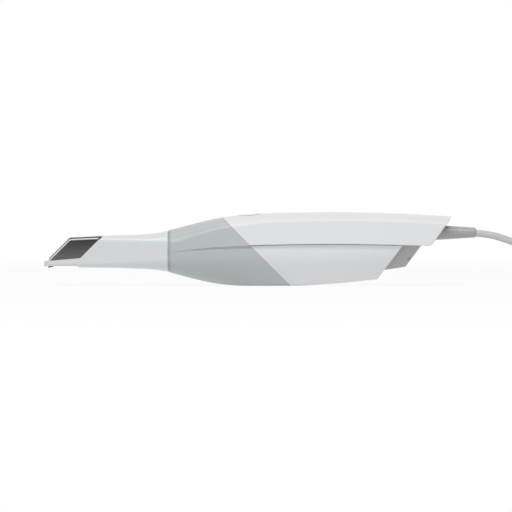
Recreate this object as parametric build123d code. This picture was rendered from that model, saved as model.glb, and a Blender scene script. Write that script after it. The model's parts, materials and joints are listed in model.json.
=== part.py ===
from build123d import *
from functools import lru_cache
import math
import os

# Corded intraoral scanner, in millimetres.
# Working frame: the collar face is at x = 0, the tip points to -X, the cord leaves to +X,
# and the flat of the belly is at z = 0. The finished pieces move along X by frame_shift at the end.

# Handle: stations along X from the collar face to past the raked end, with the body's form at each.
# The tables of heights, widths and roundings are read between stations by the function flow.
station_x = (0.0, 12.9, 28.7, 50.0, 76.0, 108.0, 145.0, 192.0)
top_height = (36.6, 39.8, 43.7, 46.8, 48.1, 48.5, 47.8, 45.3)
seam_height = (22.0, 23.7, 25.4, 26.6, 27.4, 27.7, 27.2, 25.7)
bottom_height = (9.0, 5.5, 2.0, -0.15, -0.25, 1.4, 5.2, 14.6)
half_width = (13.8, 15.6, 18.1, 20.2, 21.3, 21.5, 20.8, 18.4)
overhang = (0.03, 0.45, 1.0, 1.5, 1.9, 2.1, 2.1, 1.9)
upper_lean = (0.0, 0.6, 1.4, 2.2, 2.8, 3.0, 3.0, 2.8)
crown_rise = (0.5, 0.7, 0.9, 1.1, 1.2, 1.2, 1.1, 1.0)
shoulder_drop = (10.5, 9.6, 8.2, 6.8, 5.9, 5.6, 5.4, 5.2)
shoulder_width = (10.5, 10.2, 9.6, 9.0, 8.6, 8.4, 8.2, 8.0)
keel_half_width = (13.8, 13.6, 13.4, 13.2, 13.0, 12.6, 12.0, 10.6)
keel_rise = (10.5, 11.0, 11.5, 11.5, 11.5, 11.0, 9.6, 7.0)
keel_round = (10.4, 9.8, 9.0, 8.0, 7.6, 7.6, 7.4, 7.0)
hull_bulge = (0.0, 0.5, 1.1, 1.7, 2.0, 2.0, 1.6, 0.6)
handle_spans = 14

# Tip sleeve: stations from its rear mouth to past its far end.
tip_station_x = (0.0, -5.0, -10.0, -20.0, -37.0, -60.0, -88.0)
tip_top_height = (36.3, 35.1, 34.3, 33.6, 33.1, 31.9, 30.9)
tip_bottom_height = (9.2, 10.0, 10.7, 11.2, 11.8, 12.1, 12.3)
tip_half_width = (13.5, 12.5, 11.7, 10.8, 10.1, 9.6, 9.3)
tip_corner = (10.0, 8.6, 7.4, 5.8, 4.4, 3.2, 2.6)
tip_spans = 12

# Walls and clearances.
shell_wall = 2.0
tip_wall = 1.4
fit_gap = 0.15
part_line = 0.12
seam_gap = 0.25
lip_depth = 3.0
lip_wall = 1.0
lip_root = 0.4
inner_gap = 0.4
running_gap = 0.06

# Parting of the casing, seen from the side.
boundary_foot_x = 80.3
rake_angle = 54.0
seam_reference = 26.5
upper_end_x = 172.6
lower_end_x = 153.7
cap_end_x = 166.3
upper_corner_radius = 3.6

# Mirror hood and window at the far end of the tip.
hood_boundary_x = -76.3
hood_back_x = -96.7
hood_corner = 1.6
hood_back_round = 1.1
hood_wall = 2.0
hood_tongue = 2.4
hood_tab = 6.0
rail_top_x, rail_top_z, rail_top_slope = -76.6, 16.7, 0.086
rail_bottom_z = 13.1
rail_width = 2.5
rail_depth = 3.0
step_start_x, step_start_z = -56.5, 10.6
step_knee_x = -59.8
step_end_x = -63.0
chin_x = -81.8
chin_drop = 0.7
chin_bend_start_x, chin_bend_x, chin_bend_end_x = -75.5, -78.5, -79.0
chin_round = 4.6
window_start_x, window_end_x = -76.2, -61.7
window_round = 1.6
end_plan_length = 40.0
end_plan_margin = 0.2
tab_step = 1.0
under_hollow_height = 6.0
mirror_thick = 1.5

# Collar ring and the optical nose that carries the tip.
tip_rear_gap = 0.25
ring_width = 1.6
ring_recess = 0.25
axis_z = 22.5
nose_reach = 34.0
nose_half_width = 8.0
nose_half_height = 8.5
nose_corner = 3.0
nose_seat = 9.0
neck_inset = 0.6
flange_x = 3.2
flange_thick = 3.0
throat_radius = 9.0
throat_end_x = 14.0
bore_radius = 6.2
lens_gap = 0.05
lens_rim = 1.25
glass_radius = 7.0
glass_thick = 1.2
front_lens_x = -24.0
lens_edge = 3.0
spacer_length = 6.0
spacer_wall = 1.2
keeper_length = 2.5
keeper_wall = 1.1
front_lens_sags = (1.2, 0.8)
rear_lens_sags = (0.6, 1.4)
spring_start_x, spring_end_x = -26.0, -12.0
spring_width = 5.0
spring_thick = 0.3
spring_pocket = 0.3
spring_end_gap = 0.3
spring_foot = 0.8
nose_screw_pitch = 7.5

# Optics frame: an open trough from the nose to the camera.
frame_wall = 1.5
frame_half_width = 10.6
frame_floor_z = 11.5
frame_top_z = 30.5
frame_plate = 2.0
lens_web_x = 57.0
lens_web = 3.0
barrel_web_x = 80.0
frame_end_x = 96.0
saddle_length = 4.0
saddle_half_width = 7.0
front_saddle_x = 54.0
rear_saddle_x = 90.0
saddle_screw_y = 5.0
side_window_x = (26.0, 46.0, 72.0)
side_window_length, side_window_height = 9.0, 7.0
camera_window_edge = 2.0

# Focus drive.
rod_radius = 1.5
rod_y = 6.0
rod_drop = 6.2
carriage_x = 35.0
carriage_length = 10.0
carriage_half_width = 8.2
carriage_height = 8.4
carriage_top = 7.6
focus_travel = 3.0
coil_length = 8.0
coil_half_width = 3.3
coil_height = 5.2
coil_winding = 1.2
coil_top_z = 12.5
coil_side_gap = 1.2
coil_end_gap = 1.5
coil_arm_step = 1.5
coil_arm_inset = 1.0
focus_lens_sag = 1.3
core_half_width = 1.6
core_height = 2.0
yoke_half_width = 5.6
yoke_plate = 1.2
yoke_end = 1.5
yoke_end_gap = 0.5
yoke_floor_gap = 0.4
magnet_thick = 0.8
magnet_gap = 0.3

# Beam splitter, light barrel and camera.
splitter_x = 63.0
splitter_side = 14.0
barrel_radius = 7.6
barrel_bore = 6.2
barrel_height = 8.5
clamp_plate = 1.5
clamp_overhang = 1.0
slide_height = 1.5
slide_thick = 1.0
slide_ledge = 0.8
slide_ledge_wall = 1.0
ledge_root = 0.2
condenser_height = 3.2
condenser_ball_radius = 14.0
lamp_board_thick = 1.6
lamp_half = 7.0
lamp_chip = 1.6
lamp_chip_height = 1.0
spreader_height = 2.6
spreader_fin = 0.9
spreader_fins = 5
relay_lens_sag = 0.9
camera_lens_sag = 1.1
camera_lens_inset = 2.5
camera_board_notch = 0.8
camera_barrel_radius = 7.0
camera_bore = 5.4
camera_barrel_x = 78.0
camera_barrel_length = 10.0
sensor_half = 4.6
sensor_thick = 1.2
camera_board_thick = 1.6
camera_board_half = 8.4

# Main board, heat sink and fan.
board_z = 33.0
board_thick = 1.6
board_start_x, board_end_x = 80.0, 140.0
board_half_width = 15.0
board_post_x = (84.0, 136.0)
board_post_y = 12.0
post_radius = 2.4
socket_length, socket_half_width, socket_height = 9.0, 5.5, 5.0
socket_overhang = 1.0
# Each chip on the main board: its middle along X and Y, its length, width and height.
chip_table = (
    (92.0, 0.0, 12.0, 12.0, 1.6),
    (108.0, -5.0, 9.0, 9.0, 1.2),
    (108.0, 6.0, 6.0, 8.0, 1.0),
    (122.0, 0.0, 10.0, 14.0, 2.2),
    (82.5, 0.0, 3.0, 10.0, 3.0),
)
sink_start_x, sink_end_x = 97.5, 115.0
sink_half_width = 9.5
sink_base = 2.0
sink_fin = 0.9
sink_depth = 9.0
sink_fins = 7
fan_x = 119.0
fan_depth = 8.0
fan_side = 20.0
fan_z = 19.5
fan_tip_radius = 9.1
fan_tip_gap = 0.35
fan_hub_radius = 4.4
fan_blades = 7
fan_blade_thick = 0.8
fan_blade_pitch = 38.0
fan_shaft_radius = 0.75
fan_shaft_length = 4.5
fan_shaft_end_gap = 0.4
fan_corner = 2.0
fan_spider = 1.0
fan_arm_width = 1.2
fan_arm_turns = (45, 165, 285)
fan_arm_inset = 0.2
fan_hub_gap = 0.4
fan_blade_inset = 0.3
fan_blade_length = 11.0
fan_blade_shift = 1.0
fan_rib = 1.2
fan_rib_height = 2.0

# Scan button.
button_x = 54.0
button_radius = 6.0
button_gap = 0.15
bezel_radius = 8.0
bezel_flange = 1.0
bezel_flange_z = 41.2
button_travel = 0.6
button_flange = 1.0
button_flange_edge = 1.0
button_stem_radius = 2.0
switch_height = 1.4
switch_half = 3.0
switch_dome = 0.5
switch_dome_radius = 1.6
button_board_z = 35.4
button_board_half = 7.0
button_post_y = 12.3

# Rear cap, strain relief and clamp.
cap_gap = 0.15
plug_inset = 5.6
cap_wall = 2.0
bulkhead_recess = 5.0
bulkhead_wall = 2.0
cap_front_x = 152.0
cap_nose_length = 14.0
lower_lip_margin = 2.0
rear_form_start_x = 110.0
cord_z = 35.0
boot_bore = 5.0
boot_boss = 7.4
boot_boss_start_x = 160.0
boot_flange_radius = 6.6
boot_flange = 2.0
boot_end_radius = 3.3
boot_exit_x = 178.0
boot_end_x = 203.0
boot_rim = 0.7
slot_count = 7
slot_pitch = 2.6
slot_width = 1.2
slot_low_z, slot_high_z = 15.6, 25.0
clamp_length = 6.0
clamp_half_width = 7.0
clamp_half_height = 5.0
lead_start_x = 147.0
rear_form_spans = 6

# Small screws.
screw_radius = 0.8
screw_head_radius = 1.4
screw_head = 1.0
screw_length = 5.0
screw_gap = 0.05

# Cord, hank and plug. The tail leaves the hank under the lead, on its other side.
cord_radius = 2.4
cord_route = [
    (190.0, 0.0, 35.0),
    (208.0, 0.0, 35.0),
    (227.0, -0.9, 29.3),
    (246.0, -4.4, 20.6),
    (264.0, -10.4, 15.0),
    (281.0, -17.6, 12.8),
    (298.0, -23.75, 12.8),
    (314.0, -23.75, 12.8),
]
tail_route = [
    (314.0, 23.75, 3.7),
    (304.0, 23.75, 3.7),
    (294.0, 22.2, 4.0),
    (285.0, 20.0, 4.3),
    (276.0, 17.8, 4.3),
]
hank_fold = 14.4
hank_run = 32.0
hank_columns = 3
hank_layers = 3
hank_stub = 20.0
hank_bed = 0.25
tie_thick = 0.9
tie_width = 12.0
tie_end = 22.0
plug_length = 30.0
plug_half_width = 8.0
plug_half_thick = 4.2
plug_round = 2.4
plug_neck = 8.0
plug_neck_edge = 0.8
shell_length = 14.0
shell_half_width = 6.0
shell_half_thick = 2.25
shell_metal = 0.35
shell_root = 4.0
rim_left = 0.05
tongue_thick = 1.9
tongue_gap = 0.2
tongue_short = 1.0

# How far the cutting prisms reach past the part.
reach = 60.0
far_left = -120.0
far_right = 240.0

# The finished pieces move along X by this, which puts the origin under the middle of the scanner.
frame_shift = -(chin_x + boot_end_x) / 2

# Worked out from the values above.
post_sides = (-board_post_y, board_post_y)
button_sides = (-button_post_y, button_post_y)
rod_sides = (-rod_y, rod_y)
rod_height = axis_z - rod_drop
splitter_end_x = splitter_x + splitter_side
board_screw_places = [(x, y) for x in board_post_x for y in post_sides]
button_screw_places = [(button_x, y) for y in button_sides]
saddle_xs, saddle_sides = (front_saddle_x, rear_saddle_x), (-saddle_screw_y, saddle_screw_y)
saddle_screw_places = [(x, y) for x in saddle_xs for y in saddle_sides]
nose_screw_places = [
    (0, nose_screw_pitch),
    (nose_screw_pitch, 0),
    (0, -nose_screw_pitch),
    (-nose_screw_pitch, 0),
]

# Cylinders stand on their lower end.
low_end = (Align.CENTER, Align.CENTER, Align.MIN)

# How far a rounding's control points lie towards its corner: near a circle, and a little fuller.
corner_pull = 0.58


def flow(x, xs, values):
    """Smooth value at x through the stations: cubic pieces whose slopes never overshoot."""
    if xs[0] > xs[-1]:
        xs, values = xs[::-1], values[::-1]
    n = len(xs)
    steps = [xs[i + 1] - xs[i] for i in range(n - 1)]
    slopes = [(values[i + 1] - values[i]) / steps[i] for i in range(n - 1)]
    tangents = [slopes[0]]
    for i in range(1, n - 1):
        before, after = slopes[i - 1], slopes[i]
        if before * after <= 0:
            tangents.append(0.0)
        else:
            w1, w2 = 2 * steps[i] + steps[i - 1], steps[i] + 2 * steps[i - 1]
            tangents.append((w1 + w2) / (w1 / before + w2 / after))
    tangents.append(slopes[-1])
    i = max(0, min(n - 2, sum(1 for s in xs[1:-1] if x > s)))
    t = (x - xs[i]) / steps[i]
    if t < 0 or t > 1:
        end = 0 if t < 0 else n - 1
        return values[end] + tangents[end] * (x - xs[end])
    return (
        values[i] * (1 + 2 * t) * (1 - t) ** 2
        + tangents[i] * steps[i] * t * (1 - t) ** 2
        + values[i + 1] * t * t * (3 - 2 * t)
        + tangents[i + 1] * steps[i] * t * t * (t - 1)
    )


def at(x, values):
    """A handle measure at x."""
    return flow(x, station_x, values)


def at_tip(x, values):
    """A tip measure at x."""
    return flow(x, tip_station_x, values)


def along(start, end, share):
    """The point a share of the way from start to end."""
    return tuple(a + (b - a) * share for a, b in zip(start, end))


def meeting(p, d, q, e):
    """Where the line from p along d meets the line from q along e."""
    cross = d[0] * e[1] - d[1] * e[0]
    s = ((q[0] - p[0]) * e[1] - (q[1] - p[1]) * e[0]) / cross
    return (p[0] + d[0] * s, p[1] + d[1] * s)


def rounding(start, corner, end):
    """Control points of a curve that rounds a corner."""
    return [start, along(start, corner, corner_pull), along(end, corner, corner_pull), end]


def closed_section(x, right_side):
    """The face at x bounded by curves on the right, from the bottom centre up, and by their mirror images.
    Each curve is a list of (y, z) control points; the first and last curves cross the centre."""
    curves = list(right_side)
    for curve in reversed(right_side[1:-1]):
        curves.append([(-y, z) for y, z in reversed(curve)])
    edges = [Bezier(*[(x, y, z) for y, z in curve]) for curve in curves]
    return Face(Wire(edges))


def handle_section(x, inset=0.0):
    """The handle's cross-section at x, drawn inside the true one by inset."""
    top, bottom = at(x, top_height) - inset, at(x, bottom_height) + inset
    seam = at(x, seam_height) + inset
    wide = at(x, half_width) - inset
    narrow = wide - at(x, overhang)
    lean, rise = at(x, upper_lean), at(x, crown_rise)
    drop = max(at(x, shoulder_drop) - inset, 1.0)
    across = max(at(x, shoulder_width) - inset, 1.0)
    keel = at(x, keel_half_width) - inset
    keel_up = max(at(x, keel_rise) - inset, 1.0)
    keel_in = max(at(x, keel_round) - inset, 1.0)

    crown_edge = (wide - lean - across, top - rise)
    crown_peak = (0.0, top + rise)
    side_slope = (-lean / (top - seam), 1.0)
    side_top = (wide + side_slope[0] * (top - drop - seam), top - drop)
    shoulder = meeting(side_top, side_slope, crown_edge, (crown_edge[0], -2 * rise))

    flat_edge = (keel - keel_in, bottom)
    hull_top, keel_corner = (narrow, seam), (keel, bottom)
    hull_low = along(keel_corner, hull_top, keel_up / (seam - bottom))
    bulge = at(x, hull_bulge)
    hull_a = along(hull_top, hull_low, 1 / 3)
    hull_b = along(hull_top, hull_low, 2 / 3)
    hull_a = (hull_a[0] + bulge, hull_a[1])
    hull_b = (hull_b[0] + bulge, hull_b[1])
    low_slope = (hull_b[0] - hull_low[0], hull_b[1] - hull_low[1])
    bilge = meeting(hull_low, low_slope, flat_edge, (1.0, 0.0))

    return closed_section(
        x,
        [
            [(-flat_edge[0], bottom), flat_edge],
            rounding(flat_edge, bilge, hull_low),
            [hull_low, hull_b, hull_a, hull_top],
            [hull_top, (wide, seam)],
            [(wide, seam), side_top],
            rounding(side_top, shoulder, crown_edge),
            [crown_edge, crown_peak, (-crown_edge[0], crown_edge[1])],
        ],
    )


def tip_section(x, inset=0.0, corner_size=None):
    """The tip's cross-section at x, drawn inside the true one by inset."""
    top, bottom = at_tip(x, tip_top_height) - inset, at_tip(x, tip_bottom_height) + inset
    wide = at_tip(x, tip_half_width) - inset
    corner = max((corner_size or at_tip(x, tip_corner)) - inset, 0.5)
    low_side, high_side = (wide, bottom + corner), (wide, top - corner)
    low_edge, high_edge = (wide - corner, bottom), (wide - corner, top)
    low_corner, high_corner = (wide, bottom), (wide, top)
    return closed_section(
        x,
        [
            [(-low_edge[0], bottom), low_edge],
            rounding(low_edge, low_corner, low_side),
            [low_side, high_side],
            rounding(high_side, high_corner, high_edge),
            [high_edge, (-high_edge[0], top)],
        ],
    )


def spread(start, end, spans):
    """Evenly spaced places from start to end."""
    return [start + (end - start) * i / spans for i in range(spans + 1)]


@lru_cache(maxsize=None)
def handle_form(inset=0.0):
    """The whole handle as one solid, inset by a wall or a clearance."""
    return loft([handle_section(x, inset) for x in spread(station_x[0], station_x[-1], handle_spans)])


@lru_cache(maxsize=None)
def rear_form(inset=0.0):
    """The rear of the handle alone, for the deeper insets of the rear cap."""
    return loft([handle_section(x, inset) for x in spread(rear_form_start_x, station_x[-1], rear_form_spans)])


@lru_cache(maxsize=None)
def tip_form(inset=0.0):
    """The whole tip as one solid, inset by a wall or a clearance."""
    return loft([tip_section(x, inset) for x in spread(tip_station_x[0], tip_station_x[-1], tip_spans)])


@lru_cache(maxsize=None)
def hood_form(inset=0.0):
    """The far end of the tip with the hood's sharper corners, inset by a wall or a clearance."""
    places = spread(hood_boundary_x + rail_top_z, tip_station_x[-1], 3)
    places[0] = tip_station_x[-1] + (hood_boundary_x - tip_station_x[-1]) * 4
    return loft([tip_section(x, inset, hood_corner) for x in sorted(places, reverse=True)])


def prism(*points):
    """A side outline in X and Z, carried right through the part along Y."""
    outline = Polyline(*[(x, 0, z) for x, z in points], close=True)
    return extrude(Face(Wire(outline.edges())), reach, dir=(0, 1, 0), both=True)


def slab(x0, x1):
    """Everything between two planes across the part."""
    return Pos((x0 + x1) / 2, 0, 0) * Box(x1 - x0, 2 * reach, 2 * reach)


def block(x0, x1, half_y, z0, z1):
    """A box on the middle plane between two heights."""
    return Pos((x0 + x1) / 2, 0, (z0 + z1) / 2) * Box(x1 - x0, 2 * half_y, z1 - z0)


def rod_x(x0, x1, radius, y=0.0, z=axis_z):
    """A round rod along X."""
    return Pos(x0, y, z) * Rot(0, 90, 0) * Cylinder(radius, x1 - x0, align=low_end)


def rod_z(z0, z1, radius, x, y=0.0):
    """A round rod along Z."""
    return Pos(x, y, z0) * Cylinder(radius, z1 - z0, align=low_end)


def group(pieces):
    """Separate solids that share one node."""
    return Compound(children=[solid for piece in pieces for solid in piece.solids()])


def screw_up(x, y, z):
    """A small screw driven upwards, its head just under height z."""
    return rod_z(z - screw_head, z, screw_head_radius, x, y) + rod_z(z, z + screw_length, screw_radius, x, y)


def screw_down(x, y, z):
    """A small screw driven downwards, its head standing on height z."""
    return rod_z(z, z + screw_head, screw_head_radius, x, y) + rod_z(z - screw_length, z, screw_radius, x, y)


def screw_forward(x, y, z):
    """A small screw driven towards the tip, its head just behind the plane at x."""
    return rod_x(x, x + screw_head, screw_head_radius, y, z) + rod_x(x - screw_length, x, screw_radius, y, z)


def rake_x(end_x, z):
    """Where a raked end plane lies at height z."""
    return end_x + (z - seam_reference) / math.tan(math.radians(rake_angle))


def raked(distance):
    """How far along X a raked plane moves when it is set back by a distance square to itself."""
    return distance / math.sin(math.radians(rake_angle))


def before_rake(end_x):
    """Everything in front of a raked end plane."""
    return prism(
        (far_left, -reach), (rake_x(end_x, -reach), -reach), (rake_x(end_x, reach), reach), (far_left, reach)
    )


def behind_boundary(offset=0.0):
    """Everything behind the sloping line where the front housing ends, moved back by offset."""
    foot = boundary_foot_x + offset * math.sqrt(2)
    return prism((foot - reach, reach), (foot + reach, -reach), (far_right, -reach), (far_right, reach))


def seam_line(lift):
    """Points of the seam, lifted by a height, from well in front of the handle to well behind it."""
    return [(x, 0, at(x, seam_height) + lift) for x in spread(station_x[0] - 10, station_x[-1] + 10, 24)]


@lru_cache(maxsize=None)
def above_seam(lift=0.0):
    """Everything above the seam, lifted by a height."""
    points = seam_line(lift)
    line = Spline(points)
    (x0, _, z0), (x1, _, z1) = points[0], points[-1]
    rest = Polyline((x1, 0, z1), (x1, 0, reach), (x0, 0, reach), (x0, 0, z0))
    return extrude(Face(Wire([line, *rest.edges()])), reach, dir=(0, 1, 0), both=True)


def corner_cutter(corner, way_one, way_two, radius):
    """What a rounding of the radius takes off a side outline's corner, given the two ways out of it."""
    one, two = Vector(*way_one).normalized(), Vector(*way_two).normalized()
    half_turn = math.radians(one.get_angle(two) / 2)
    middle = (one + two).normalized()
    p = Vector(*corner)
    tangent_one = p + one * (radius / math.tan(half_turn))
    tangent_two = p + two * (radius / math.tan(half_turn))
    mid = p + middle * (radius / math.sin(half_turn) - radius)
    outside = p - middle * radius
    arc = ThreePointArc(tangent_one, mid, tangent_two)
    lines = Polyline(tangent_two, outside, tangent_one)
    return extrude(Face(Wire([arc, *lines.edges()])), reach, dir=(0, 1, 0), both=True)


def build_casing():
    """Front housing, upper shell and lower shell, moulded with lips that reach under each other."""
    outer, inner = handle_form(), handle_form(shell_wall)
    above_ground = Pos(0, 0, reach) * Box(9 * reach, 2 * reach, 2 * reach)
    skin = (outer - inner) & above_ground
    lip_outer, lip_inner = handle_form(shell_wall + fit_gap), handle_form(shell_wall + fit_gap + lip_wall)
    lip = lip_outer - lip_inner
    lip_foot = handle_form(shell_wall - lip_root) - lip_inner
    inside = handle_form(shell_wall / 2)

    front = (skin - behind_boundary()) & slab(ring_width, far_right)
    front += lip_foot & (behind_boundary(-lip_depth) - behind_boundary(-lip_root))
    front += lip & (behind_boundary(-lip_depth) - behind_boundary(lip_depth))
    front += saddle(front_saddle_x) & inside

    back = skin & behind_boundary(part_line)
    upper = back & above_seam(part_line) & before_rake(upper_end_x)
    rear_corner = rake_x(upper_end_x, at(upper_end_x, seam_height))
    rake_way = (math.cos(math.radians(rake_angle)), 0, math.sin(math.radians(rake_angle)))
    seam_way = (-1, 0, (at(rear_corner - 5, seam_height) - at(rear_corner, seam_height)) / 5)
    corner = (rear_corner, 0, at(rear_corner, seam_height) + part_line)
    upper -= corner_cutter(corner, rake_way, seam_way, upper_corner_radius)
    upper -= rod_z(frame_top_z, reach, bezel_radius + fit_gap, button_x)
    posts = [rod_z(board_z + board_thick, reach, post_radius, x, y) for x in board_post_x for y in post_sides]
    posts += [rod_z(button_board_z + board_thick, reach, post_radius, button_x, y) for y in button_sides]
    for post in posts:
        upper += post & inside
    for hole in holes_up(board_screw_places, board_z) + holes_up(button_screw_places, button_board_z):
        upper -= hole

    lower = (back - above_seam(-seam_gap)) & before_rake(lower_end_x)
    tongue_top = above_seam(shell_wall - fit_gap)
    lower_part = (lip_foot - above_seam(-lip_root)) & above_seam(-lip_depth)
    lower_part += (lip - tongue_top) & above_seam(-lip_depth)
    lip_end_x = lower_end_x - raked(bulkhead_recess + lower_lip_margin)
    lower += lower_part & behind_boundary(lip_depth + fit_gap) & before_rake(lip_end_x)
    lower += saddle(rear_saddle_x) & inside
    lower += fan_saddle() & inside
    for hole in saddle_holes():
        front -= hole
        lower -= hole
    return {"front_housing": front, "upper_shell": upper, "lower_shell": lower}


def saddle(x):
    """A rib across the hull that carries the optics frame."""
    return block(x - saddle_length / 2, x + saddle_length / 2, saddle_half_width, -reach, frame_floor_z)


def fan_saddle():
    """Two ribs and a pad that hold the foot of the fan."""
    bottom = fan_z - fan_side / 2
    pad = block(fan_x, fan_x + fan_depth, saddle_half_width, -reach, bottom)
    rib_top, back_x = bottom + fan_rib_height, fan_x + fan_depth
    ribs = block(fan_x - fan_rib, fan_x - fit_gap, saddle_half_width, -reach, rib_top)
    ribs += block(back_x + fit_gap, back_x + fan_rib, saddle_half_width, -reach, rib_top)
    return pad + ribs


def holes_up(places, z):
    """Holes for screws that go up from height z."""
    return [rod_z(z - 1, z + screw_length + screw_gap, screw_radius + screw_gap, x, y) for x, y in places]


def saddle_holes():
    """Holes for the screws that hold the optics frame on its saddles."""
    top = frame_floor_z + frame_wall
    low = top - screw_length - screw_gap
    return [rod_z(low, top + 1, screw_radius + screw_gap, x, y) for x, y in saddle_screw_places]


def nose_holes():
    """Holes for the screws that hold the nose on the optics frame."""
    x1 = throat_end_x + frame_plate
    x0 = x1 - screw_length - screw_gap
    return [rod_x(x0, x1 + 1, screw_radius + screw_gap, y, axis_z + z) for y, z in nose_screw_places]


def behind_slant(x_at_zero):
    """Everything behind a 45 degree plane that leans towards the handle, given its X at height zero."""
    low, high = (x_at_zero - reach, -reach), (x_at_zero + reach, reach)
    return prism(low, high, (far_right, reach), (far_right, -reach))


def rail_top(x):
    """Height of the line where the hood stands on the rails."""
    return rail_top_z + (x - rail_top_x) * rail_top_slope


def above_rails(lift=0.0):
    """Everything above the line between hood and rails."""
    left, right = rail_top(far_left) + lift, rail_top(far_right) + lift
    return prism((far_left, left), (far_right, right), (far_right, reach), (far_left, reach))


def under_outline():
    """What lies under the tip near its end: its step up to the window, and its chin's droop."""
    chin_z = rail_bottom_z - chin_drop
    line = [
        Bezier(
            (step_start_x, 0, step_start_z),
            (step_knee_x, 0, rail_bottom_z),
            (step_knee_x, 0, rail_bottom_z),
            (step_end_x, 0, rail_bottom_z),
        ),
        Line((step_end_x, 0, rail_bottom_z), (chin_bend_start_x, 0, rail_bottom_z)),
        Bezier(
            (chin_bend_start_x, 0, rail_bottom_z),
            (chin_bend_x, 0, rail_bottom_z),
            (chin_bend_end_x, 0, chin_z),
            (far_left, 0, chin_z),
        ),
    ]
    start = (step_start_x, 0, step_start_z)
    rest = Polyline((far_left, 0, chin_z), (far_left, 0, 0), (step_start_x, 0, 0), start)
    return extrude(Face(Wire([*line, *rest.edges()])), reach, dir=(0, 1, 0), both=True)


def build_tip():
    """Tip sleeve with its window frame, the dark mirror hood, and the mirror."""
    outer, inner = tip_form(), tip_form(tip_wall)
    body = (outer - inner) & behind_slant(hood_boundary_x)
    rails = (outer & slab(chin_x, hood_boundary_x + rail_top_z + rail_depth)) - above_rails()
    half = at_tip(window_end_x, tip_half_width) - rail_width
    window_plan = RectangleRounded(window_end_x - window_start_x, 2 * half, window_round)
    window = Pos((window_start_x + window_end_x) / 2, 0, 0) * extrude(window_plan, reach)
    rails -= window
    rails -= inner & slab(window_end_x + rail_width, far_right) & above_rails(rail_bottom_z - rail_top_z)
    half_end = at_tip(chin_x, tip_half_width)
    end_length = 4 * chin_round + end_plan_length
    end_plan = RectangleRounded(end_length, 2 * (half_end + end_plan_margin), chin_round)
    rails &= Pos(chin_x + end_length / 2, 0, 0) * extrude(end_plan, reach)
    sleeve = body + (rails - (inner & slab(window_end_x + rail_width, far_right)))
    sleeve -= under_outline()
    sleeve -= slab(-tip_rear_gap, far_right)

    joint = math.sqrt(2) * part_line
    hood_zone = behind_slant(hood_back_x) - behind_slant(hood_boundary_x - joint)
    hood = hood_form() & hood_zone & above_rails(part_line)
    inside_back = hood_back_x + math.sqrt(2) * hood_wall
    hollow = hood_form(hood_wall) & behind_slant(inside_back)
    hollow_half = at_tip(rail_top_x, tip_half_width) - hood_wall
    under_hollow = block(far_left, 0, hollow_half, 0, rail_top_z + under_hollow_height)
    hood -= hollow
    hood -= under_hollow & behind_slant(inside_back)
    tabs = hood_form(tip_wall + fit_gap) - hood_form(hood_wall + lip_root)
    tabs &= behind_slant(hood_boundary_x - 2 * hood_tongue) - behind_slant(hood_boundary_x + hood_tongue)
    middle_z = (rail_top_z + at_tip(hood_boundary_x + axis_z, tip_top_height)) / 2
    side_tabs = block(far_left, 0, reach, middle_z - hood_tab / 2, middle_z + hood_tab / 2)
    top_tab = block(far_left, 0, hood_tab / 2, middle_z + hood_tab / 2 + tab_step, reach)
    tabs = [*(tabs & side_tabs).solids(), *(tabs & top_tab).solids()]
    back_edges = hood.edges().filter_by(lambda e: on_slant(e, hood_back_x))
    hood = fillet(back_edges, hood_back_round)
    for tab in tabs:
        hood += tab

    mirror = behind_slant(inside_back) - behind_slant(inside_back + math.sqrt(2) * mirror_thick)
    mirror &= hood_form(hood_wall + fit_gap)
    mirror &= above_rails(part_line)
    return {"tip_sleeve": sleeve, "mirror_hood": hood, "tip_mirror": mirror}


def on_slant(edge, x_at_zero):
    """Whether an edge lies in a 45 degree plane, given the plane's X at height zero."""
    return all(abs(p.X - p.Z - x_at_zero) < 0.01 for p in (edge @ 0, edge @ 0.5, edge @ 1))


def bulge(x, sag, radius):
    """Half the outline of a lens face, from centre to edge, standing out of the plane at x by its sag."""
    ball = (radius**2 + sag**2) / (2 * abs(sag))
    part_way = radius / 2
    rise = math.sqrt(ball**2 - part_way**2) - (ball - abs(sag))
    side = math.copysign(1, sag)
    between = (x + side * rise, 0, axis_z + part_way)
    return ThreePointArc((x + sag, 0, axis_z), between, (x, 0, axis_z + radius))


def lens_at(x, radius, edge, front_sag, back_sag):
    """A round lens on the optical axis. Its edge starts at x, and each face bulges inside a flat rim."""
    face_radius = radius - lens_rim
    front = bulge(x, -front_sag, face_radius)
    if back_sag:
        back = bulge(x + edge, back_sag, face_radius)
    else:
        back = Line((x + edge, 0, axis_z), (x + edge, 0, axis_z + face_radius))
    face_z, rim_z = axis_z + face_radius, axis_z + radius
    rim = Polyline((x, 0, face_z), (x, 0, rim_z), (x + edge, 0, rim_z), (x + edge, 0, face_z))
    axis_line = Line(front @ 0, back @ 0)
    return revolve(Face(Wire([front, back, axis_line, *rim.edges()])), Axis((0, 0, axis_z), (1, 0, 0)))


def nose_outline(inset=0.0):
    """The nose's straight part in section: a rounded box on the optical axis."""
    plan = RectangleRounded(2 * (nose_half_height - inset), 2 * (nose_half_width - inset), nose_corner)
    return Pos(0, 0, axis_z) * Rot(0, 90, 0) * plan


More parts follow.
